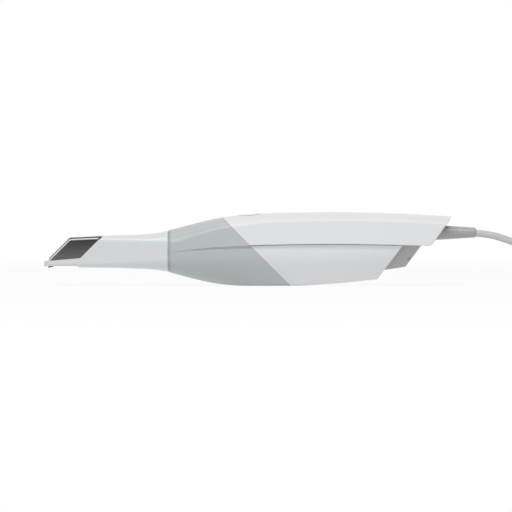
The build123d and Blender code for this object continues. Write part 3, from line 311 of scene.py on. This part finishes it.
def silvered_glass():
    """The tip's mirror: a silver film on glass, almost without haze."""
    material, tree, where = blank("front silvered mirror")
    gloss = between(tree, noise(tree, where, MIRROR_HAZE_SCALE), 0.01, 0.04)
    principled(tree, {"Base Color": linear("#E4E8EA"), "Metallic": 1.0, "Roughness": gloss})
    return material


def woven_strap():
    """Hook and loop strap: rows of short loops."""
    material, tree, where = blank("hook and loop nylon")
    loops = add(tree, "ShaderNodeTexVoronoi", {"Vector": where, "Scale": LOOP_SCALE}).outputs["Distance"]
    principled(
        tree,
        {
            "Base Color": shade_between(tree, loops, "#141416", "#34353A"),
            "Roughness": 0.9,
            "Sheen Weight": 0.4,
            "Normal": relief(tree, loops, strength=0.8, depth=0.2),
        },
    )
    return material


def solder_mask():
    """Circuit board: green mask over glass fibre, with faint raised tracks."""
    material, tree, where = blank("green solder mask")
    tracks = add(
        tree,
        "ShaderNodeTexBrick",
        {
            "Vector": where,
            "Scale": TRACK_SCALE,
            "Mortar Size": 0.03,
            "Brick Width": 0.9,
            "Row Height": 0.35,
            "Color1": linear("#0D5A34"),
            "Color2": linear("#0B4E2E"),
            "Mortar": linear("#1B7B4A"),
        },
    )
    normal = relief(tree, tracks.outputs["Fac"], strength=0.4, depth=0.03)
    principled(tree, {"Base Color": tracks.outputs["Color"], "Roughness": 0.35, "Normal": normal})
    return material


def finishes(colours):
    """Every finish by the record's material slot, in colours as the eye reads them in even white light."""
    return {
        # The tip's polymer stands steam sterilising, and is glossier than the handle.
        "tip_white": moulded(
            "autoclavable white polymer",
            colours.tip,
            rough=0.3,
            grain=0.5,
            depth=0.002,
            coat=0.25,
            edge=0.0,
        ),
        "hood_dark": smoked_polymer(),
        "tip_mirror": silvered_glass(),
        "ring_grey": moulded(
            "soft grey elastomer",
            "#AFB4B6",
            "#B6BBBC",
            rough=0.6,
            grain=0.2,
            depth=0.01,
            ior=1.45,
            edge=0.0,
        ),
        "housing_grey": moulded(
            "satin grey ABS", colours.housing, rough=0.36, grain=0.3, depth=0.003, coat=0.15
        ),
        "shell_white": moulded(
            "satin white ABS", colours.shell, rough=0.34, grain=0.3, depth=0.003, coat=0.15, edge=0.7
        ),
        "cap_grey": moulded("dark grey ABS", "#B2B3B1", "#B9BAB8", grain=0.3, depth=0.008),
        "boot_grey": moulded(
            "grey elastomer boot",
            "#A3A4A3",
            "#A9AAA9",
            rough=0.28,
            grain=0.25,
            depth=0.003,
            coat=0.3,
            edge=0.6,
        ),
        "nose_metal": turned_metal("turned aluminium", "#B9BBBE", "#D2D4D6", 0.3),
        "clear_glass": coated_glass("coated cover glass", "#F2F8FA"),
        "lens_glass": coated_glass("coated optical glass", "#E8F2F8", 1.6, "#B6D4F2"),
        "slide_glass": coated_glass("patterned chrome on glass", "#8C9AA6"),
        "black_metal": turned_metal("black anodised aluminium", "#141416", "#232326", 0.45),
        "frame_metal": turned_metal(
            "dark anodised casting", "#3C3D42", "#4C4E54", 0.5, groove=0.5, depth=0.01
        ),
        "spring_steel": turned_metal("bright spring steel", "#B4B6B8", "#CBCDCF", 0.22),
        "screw_steel": turned_metal("plated steel", "#8F9194", "#A6A8AB", 0.35),
        "coil_copper": turned_metal(
            "varnished copper wire", "#A4541F", "#C8793A", 0.3, groove=0.3, depth=0.03
        ),
        "magnet_nickel": turned_metal("nickel plate", "#BDBEBD", "#CFD0CF", 0.2),
        "board_green": solder_mask(),
        "chip_black": moulded("chip package", "#151515", "#1C1C1C", rough=0.55, grain=0.15, depth=0.01),
        "socket_white": moulded("ivory nylon", "#DAD6C8", "#E0DCCE"),
        "fan_black": moulded("black glass-filled nylon", "#121212", "#1A1A1A", grain=0.3, depth=0.01),
        "bezel_grey": moulded("satin grey bezel", "#A9ADAF", "#AFB3B5", rough=0.4),
        "button_white": moulded("satin white key", colours.shell, rough=0.4, grain=0.3),
        "cord_grey": moulded(
            "pale grey cord jacket", colours.cord, rough=0.45, grain=0.3, depth=0.006, ior=1.45
        ),
        "tie_black": woven_strap(),
        "plug_grey": moulded("moulded plug body", "#9DA0A1", "#A4A7A8", grain=0.3, depth=0.012, edge=0.9),
        "plug_metal": turned_metal("nickel plated sheet", "#8E9093", "#A9ABAE", 0.28),
        "plug_white": moulded("white plug tongue", "#E4E4E2", "#E9E9E7", rough=0.45),
    }


def smooth_curve(name, routes):
    """A curve object with one smooth spline along each route, from its first point to its last."""
    curve = bpy.data.curves.new(name, "CURVE")
    curve.dimensions = "3D"
    for route in routes:
        spline = curve.splines.new("NURBS")
        spline.points.add(len(route) - 1)
        for point, where in zip(spline.points, route):
            point.co = (*place(*where), 1.0)
        spline.order_u = 3
        spline.use_endpoint_u = True
        spline.resolution_u = SPLINE_STEPS
    return bpy.data.objects.new(name, curve)


def turn_point(settings, number, cell):
    """One of a turn's points: the near run's middle, the far fold, the far run's middle, the near fold."""
    start = CORD_ROUTE[-1][0] + settings.hank_stub / MM
    run = settings.hank_run / MM
    outer = abs(CORD_ROUTE[-1][1])
    radius = outer - cell[0] * settings.column_step / MM
    low, high = TAIL_ROUTE[0][2], CORD_ROUTE[-1][2]
    height = low + (high - low) * cell[1] / TOP_LAYER
    side = number // (FOLD_POINTS + 1)
    step = number % (FOLD_POINTS + 1)
    if step == 0:
        return (start + run / 2, -radius if side == 0 else radius, height)
    share = math.pi / FOLD_POINTS
    angle = -math.pi / 2 + side * math.pi + (step - 0.5) * share
    reach = radius / math.cos(share / 2)
    centre = start + run if side == 0 else start
    return (centre + reach * math.cos(angle), reach * math.sin(angle), height)


def hank_points(settings):
    """Points of all the turns. The last turn ends at the far run, where the tail leaves."""
    points = []
    per_turn = 2 * (FOLD_POINTS + 1)
    for turn, here in enumerate(WINDING):
        after = WINDING[min(turn + 1, len(WINDING) - 1)]
        last = turn == len(WINDING) - 1
        for number in range(per_turn // 2 + 1 if last else per_turn):
            share = CROSSING.get(number, 0.0)
            cell = [here[k] + (after[k] - here[k]) * share for k in (0, 1)]
            points.append(turn_point(settings, number, cell))
    return points


def build_cord(settings):
    """The free cord as one smooth spline: the lead, the turns of the hank, and the tail to the plug."""
    cord = smooth_curve("cord", [[*CORD_ROUTE, *hank_points(settings), *TAIL_ROUTE]])
    bpy.context.scene.collection.objects.link(cord)
    cord.data.bevel_depth = settings.cord_diameter / 2
    cord.data.bevel_resolution = CORD_ROUNDNESS
    cord.data.use_fill_caps = True
    cord.data.materials.append(bpy.data.materials["pale grey cord jacket"])
    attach(cord, "handle")
    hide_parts("cable", "cable_coil", "cable_tail")
    plug = [frame["nodes"][name] for name in ("plug_body", "plug_shell", "plug_tongue", "coil_tie")]
    plug.append(build_ribs(settings))


def node_group(name, inputs):
    """A geometry node group with its named inputs, one mesh output, and its input node's sockets."""
    tree = bpy.data.node_groups.new(name, "GeometryNodeTree")
    for label, kind in inputs.items():
        tree.interface.new_socket(label, in_out="INPUT", socket_type=kind)
    tree.interface.new_socket("Mesh", in_out="OUTPUT", socket_type="NodeSocketGeometry")
    return tree, add(tree, "NodeGroupInput").outputs


def close_group(tree, geometry, finish):
    """Ends a group: real geometry, smooth, with its material."""
    smooth = add(tree, "GeometryNodeSetShadeSmooth", {0: geometry})
    real = add(tree, "GeometryNodeRealizeInstances", {0: smooth.outputs[0]})
    painted = add(tree, "GeometryNodeSetMaterial", {"Geometry": real.outputs[0], "Material": finish})
    end = add(tree, "NodeGroupOutput")
    tree.links.new(painted.outputs[0], end.inputs[0])


def baked(carrier, tree, values, name):
    """The plain mesh that a node group makes of a carrier, as a new object. The carrier goes."""
    bpy.context.scene.collection.objects.link(carrier)
    modifier = carrier.modifiers.new("nodes", "NODES")
    modifier.node_group = tree
    ids = {item.name: item.identifier for item in tree.interface.items_tree if item.in_out == "INPUT"}
    for label, value in values.items():
        modifier[ids[label]] = value
    graph = bpy.context.evaluated_depsgraph_get()
    mesh = bpy.data.meshes.new_from_object(carrier.evaluated_get(graph))
    bpy.data.objects.remove(carrier)
    piece = bpy.data.objects.new(name, mesh)
    bpy.context.scene.collection.objects.link(piece)
    return piece


def bead_tree():
    """A round bead swept along each path."""
    tree, given = node_group(
        "bead along a path",
        {
            "Path": "NodeSocketGeometry",
            "Bead radius": "NodeSocketFloat",
            "Sides": "NodeSocketInt",
            "Finish": "NodeSocketMaterial",
        },
    )
    section = {"Resolution": given["Sides"], "Radius": given["Bead radius"]}
    ring = add(tree, "GeometryNodeCurvePrimitiveCircle", section)
    sweep = {"Curve": given["Path"], "Profile Curve": ring.outputs["Curve"], "Fill Caps": True}
    swept = add(tree, "GeometryNodeCurveToMesh", sweep)
    close_group(tree, swept.outputs["Mesh"], given["Finish"])
    return tree


def build_beads(settings):
    """The white bead on both sides of the hood, a painted highlight on its edge, and the dark lip under the
    chin, a painted shade.
    """
    tree = bead_tree()
    both_sides = [[(x, side * y, z) for x, y, z in HOOD_HIGHLIGHT_BEAD] for side in (-1, 1)]
    # The hood bead is a painted highlight on the hood's edge, and the chin lip is a painted shade under the
    # chin.
    for name, slot, routes, radius, finish in (
        ("hood_bead", "tip_white", both_sides, settings.hood_bead, "autoclavable white polymer"),
        ("chin_lip", "hood_dark", [CHIN_SHADOW_LIP], settings.chin_lip, "smoked polysulfone"),
    ):
        values = {"Bead radius": radius, "Sides": TRIM_SIDES, "Finish": bpy.data.materials[finish]}
        piece = baked(smooth_curve(name + " path", routes), tree, values, name)
        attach(piece, "tip")


def rib_tree():
    """A row of short round ribs along X, each lying across it."""
    tree, given = node_group(
        "row of ribs",
        {
            "Ribs": "NodeSocketInt",
            "Pitch": "NodeSocketVector",
            "Sides": "NodeSocketInt",
            "Rib radius": "NodeSocketFloat",
            "Rib length": "NodeSocketFloat",
            "Finish": "NodeSocketMaterial",
        },
    )
    row = add(tree, "GeometryNodeMeshLine", {"Count": given["Ribs"], "Offset": given["Pitch"]})
    size = {"Vertices": given["Sides"], "Radius": given["Rib radius"], "Depth": given["Rib length"]}
    rib = add(tree, "GeometryNodeMeshCylinder", size)
    across = add(
        tree,
        "GeometryNodeInstanceOnPoints",
        {"Points": row.outputs["Mesh"], "Instance": rib.outputs["Mesh"], "Rotation": (math.pi / 2, 0, 0)},
    )
    close_group(tree, across.outputs["Instances"], given["Finish"])
    return tree


def build_ribs(settings):
    """Grip ribs across the top of the plug's body, sunk halfway into it."""
    end, before = place(*TAIL_ROUTE[-1]), place(*TAIL_ROUTE[-2])
    along = (end - before).normalized()
    side = Vector((0, 0, 1)).cross(along)
    start = end + along * RIB_START * MM
    start.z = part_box("plug_body")[1][2]
    carrier = bpy.data.objects.new("rib carrier", bpy.data.meshes.new("rib carrier"))
    values = {
        "Ribs": settings.plug_ribs,
        "Pitch": (settings.rib_pitch, 0, 0),
        "Sides": TRIM_SIDES,
        "Rib radius": settings.rib_radius,
        "Rib length": 2 * RIB_HALF * MM,
        "Finish": bpy.data.materials["moulded plug body"],
    }
    piece = baked(carrier, rib_tree(), values, "plug_ribs")
    piece.data.transform(Matrix((along, side, (0, 0, 1))).transposed().to_4x4())
    piece.data.transform(Matrix.Translation(start))
    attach(piece, "handle")
    return piece


class ScannerSettings(bpy.types.PropertyGroup):
    """Sizes and colours that a user would change."""

    tip: bpy.props.StringProperty(
        name="Tip", description="White of the tip, as sRGB hex", default="#DEE2E4"
    )
    shell: bpy.props.StringProperty(
        name="Shells", description="White of the shells, as sRGB hex", default="#E8E9EB"
    )
    housing: bpy.props.StringProperty(
        name="Front housing", description="Grey of the housing, as sRGB hex", default="#BEC3C4"
    )
    cord: bpy.props.StringProperty(
        name="Cord", description="Grey of the cord, as sRGB hex", default="#C8CACA"
    )
    cord_diameter: bpy.props.FloatProperty(
        name="Cord diameter", description="Outside of the cord's jacket", default=0.0048, unit="LENGTH"
    )
    hank_run: bpy.props.FloatProperty(
        name="Hank run", description="Straight part between the hank's folds", default=0.032, unit="LENGTH"
    )
    hank_stub: bpy.props.FloatProperty(
        name="Hank stub", description="Straight cord before the first fold", default=0.020, unit="LENGTH"
    )
    column_step: bpy.props.FloatProperty(
        name="Turn spacing", description="From one turn to the next beside it", default=0.0047, unit="LENGTH"
    )
    # The bead round the hood is a painted highlight on its edge.
    hood_bead: bpy.props.FloatProperty(
        name="Hood bead", description="Radius of the bead round the hood", default=0.0005, unit="LENGTH"
    )
    # The lip under the chin is a painted shade.
    chin_lip: bpy.props.FloatProperty(
        name="Chin lip", description="Radius of the lip under the chin", default=0.00045, unit="LENGTH"
    )
    plug_ribs: bpy.props.IntProperty(
        name="Plug ribs", description="Grip ribs across the plug", default=8, min=1
    )
    rib_pitch: bpy.props.FloatProperty(
        name="Rib spacing", description="From one grip rib to the next", default=0.0016, unit="LENGTH"
    )
    rib_radius: bpy.props.FloatProperty(
        name="Rib radius", description="Half the width of a grip rib", default=0.00045, unit="LENGTH"
    )


class StudioSettings(bpy.types.PropertyGroup):
    """The stage around the scanner."""

    span: bpy.props.FloatProperty(
        name="Span", description="Width that the picture shows", default=0.338, unit="LENGTH"
    )
    distance: bpy.props.FloatProperty(
        name="Distance", description="Camera to scanner", default=3.0, unit="LENGTH"
    )
    tilt: bpy.props.FloatProperty(
        name="Tilt",
        description="How far above level the camera looks from",
        default=math.radians(1.5),
        subtype="ANGLE",
    )
    key: bpy.props.FloatProperty(
        name="Key light", description="Power of the soft box above the front", default=6.0
    )
    top: bpy.props.FloatProperty(
        name="Top light", description="Power of the soft box overhead", default=1.4
    )
    fill: bpy.props.FloatProperty(
        name="Fill light", description="Power of the low front soft box", default=1.0
    )
    world: bpy.props.FloatProperty(
        name="World light", description="Strength of the white surroundings", default=0.34
    )


class SCANNER_OT_finishes(bpy.types.Operator):
    """Give every piece its material"""

    bl_idname = "scanner.finishes"
    bl_label = "Finishes"

    def execute(self, context):
        by_slot = finishes(context.scene.scanner)
        for entry in frame["record"]["subparts"]:
            node = frame["nodes"][entry["node"]]
            node.data.materials.clear()
            node.data.materials.append(by_slot[entry["material_slot"]])
        return {"FINISHED"}


class SCANNER_OT_cord(bpy.types.Operator):
    """Lay the cord and its hank"""

    bl_idname = "scanner.cord"
    bl_label = "Cord"

    def execute(self, context):
        build_cord(context.scene.scanner)
        return {"FINISHED"}


class SCANNER_OT_beads(bpy.types.Operator):
    """Edge the hood with a white bead as painted highlight, and the chin with a dark lip as painted shade"""

    bl_idname = "scanner.beads"
    bl_label = "Hood bead and chin lip"

    def execute(self, context):
        build_beads(context.scene.scanner)
        return {"FINISHED"}


def soft_box(name, where, aim, size, power):
    """A rectangular area light at a place, facing another."""
    light = bpy.data.lights.new(name, "AREA")
    light.shape = "RECTANGLE"
    light.size, light.size_y = size
    light.energy = power
    lamp = bpy.data.objects.new(name, light)
    lamp.location = where
    lamp.rotation_euler = (aim - where).to_track_quat("-Z", "Y").to_euler()
    bpy.context.scene.collection.objects.link(lamp)


def combine(tree, operation, one, other):
    """Two numbers as one, by a math node's operation."""
    return add(tree, "ShaderNodeMath", {0: one, 1: other}, operation=operation).outputs[0]


def studio_world(strength):
    """White surroundings: full white to the eye, in mirrors and through glass, and softer as a light."""
    world = bpy.data.worlds.new("studio")
    world.use_nodes = True
    tree = world.node_tree
    tree.nodes.clear()
    path = add(tree, "ShaderNodeLightPath").outputs
    seen = combine(tree, "MAXIMUM", path["Is Camera Ray"], path["Is Transmission Ray"])
    shown = combine(tree, "MAXIMUM", seen, path["Is Glossy Ray"])
    light = add(tree, "ShaderNodeBackground", {"Color": WHITE, "Strength": strength})
    view = add(tree, "ShaderNodeBackground", {"Color": WHITE, "Strength": 1.0})
    mix = add(tree, "ShaderNodeMixShader", {0: shown, 1: light.outputs[0], 2: view.outputs[0]})
    add(tree, "ShaderNodeOutputWorld", {"Surface": mix.outputs[0]})
    bpy.context.scene.world = world


def table_finish():
    """White table: white to the eye and in reflections, with a trace of the scanner's shadow near it."""
    material, tree, where = blank("white table laminate")
    path = add(tree, "ShaderNodeLightPath").outputs
    away = add(tree, "ShaderNodeVectorMath", {0: where}, operation="LENGTH").outputs["Value"]
    plain = between(tree, away, NEAR_GLOW, 1.0, *GLOW_RANGE)
    seen = combine(tree, "MULTIPLY", path["Is Camera Ray"], plain)
    mirrored = combine(tree, "MAXIMUM", path["Is Glossy Ray"], path["Is Transmission Ray"])
    beneath = combine(tree, "MULTIPLY", path["Is Diffuse Ray"], LIGHT_FROM_BENEATH)
    share = combine(tree, "MAXIMUM", combine(tree, "MAXIMUM", seen, mirrored), beneath)
    board = add(tree, "ShaderNodeBsdfDiffuse", {"Color": linear("#F4F4F4")})
    glow = add(tree, "ShaderNodeEmission", {"Color": WHITE, "Strength": 1.0})
    mix = add(tree, "ShaderNodeMixShader", {0: share, 1: board.outputs[0], 2: glow.outputs[0]})
    add(tree, "ShaderNodeOutputMaterial", {"Surface": mix.outputs[0]})
    return material


def set_table():
    """The table that the scanner lies on, as stage."""
    half = TABLE_HALF
    corners = [(-half, -half, 0), (half, -half, 0), (half, half, 0), (-half, half, 0)]
    mesh = bpy.data.meshes.new("table")
    mesh.from_pydata(corners, [], [(0, 1, 2, 3)])
    table = bpy.data.objects.new("table", mesh)
    bpy.context.scene.collection.objects.link(table)
    table.data.materials.append(table_finish())


def set_camera(studio):
    """A long lens from the front, a little above level, that shows the given width at the scanner."""
    lens = bpy.data.cameras.new("camera")
    lens.sensor_width = SENSOR_WIDTH
    lens.lens = SENSOR_WIDTH * studio.distance / studio.span
    lens.clip_end = CLIP_END
    camera = bpy.data.objects.new("camera", lens)
    back = Vector((0, -math.cos(studio.tilt), math.sin(studio.tilt)))
    camera.location = place(*AIM) + back * studio.distance
    camera.rotation_euler = (-back).to_track_quat("-Z", "Y").to_euler()
    bpy.context.scene.collection.objects.link(camera)
    bpy.context.scene.camera = camera


class SCANNER_OT_studio(bpy.types.Operator):
    """Set the table, lights and camera"""

    bl_idname = "scanner.studio"
    bl_label = "Studio"

    def execute(self, context):
        studio = context.scene.studio
        set_table()
        studio_world(studio.world)
        middle = place(*LIT)
        for setting, name, offset, size in SOFT_BOXES:
            soft_box(name, middle + Vector(offset), middle, size, getattr(studio, setting))
        set_camera(studio)
        context.scene.view_settings.view_transform = "Standard"
        return {"FINISHED"}


STEPS = ("scanner.finishes", "scanner.studio", "scanner.cord", "scanner.beads")


class SCANNER_PT_panel(bpy.types.Panel):
    """Steps and settings of the scanner"""

    bl_idname = "SCANNER_PT_panel"
    bl_label = "Scanner"
    bl_space_type = "VIEW_3D"
    bl_region_type = "UI"
    bl_category = "Scanner"

    def draw(self, context):
        layout = self.layout
        for step in STEPS:
            layout.operator(step)
        for group in (context.scene.scanner, context.scene.studio):
            for name in group.bl_rna.properties.keys():
                if name not in ("rna_type", "name"):
                    layout.prop(group, name)


CLASSES = (
    ScannerSettings,
    StudioSettings,
    SCANNER_OT_finishes,
    SCANNER_OT_cord,
    SCANNER_OT_beads,
    SCANNER_OT_studio,
    SCANNER_PT_panel,
)


def register():
    for cls in CLASSES:
        bpy.utils.register_class(cls)
    bpy.types.Scene.scanner = bpy.props.PointerProperty(type=ScannerSettings)
    bpy.types.Scene.studio = bpy.props.PointerProperty(type=StudioSettings)


def unregister():
    del bpy.types.Scene.studio
    del bpy.types.Scene.scanner
    for cls in reversed(CLASSES):
        bpy.utils.unregister_class(cls)


def main():
    register()
    for step in STEPS:
        group, name = step.split(".")
        getattr(getattr(bpy.ops, group), name)()


if __name__ == "__main__":
    main()
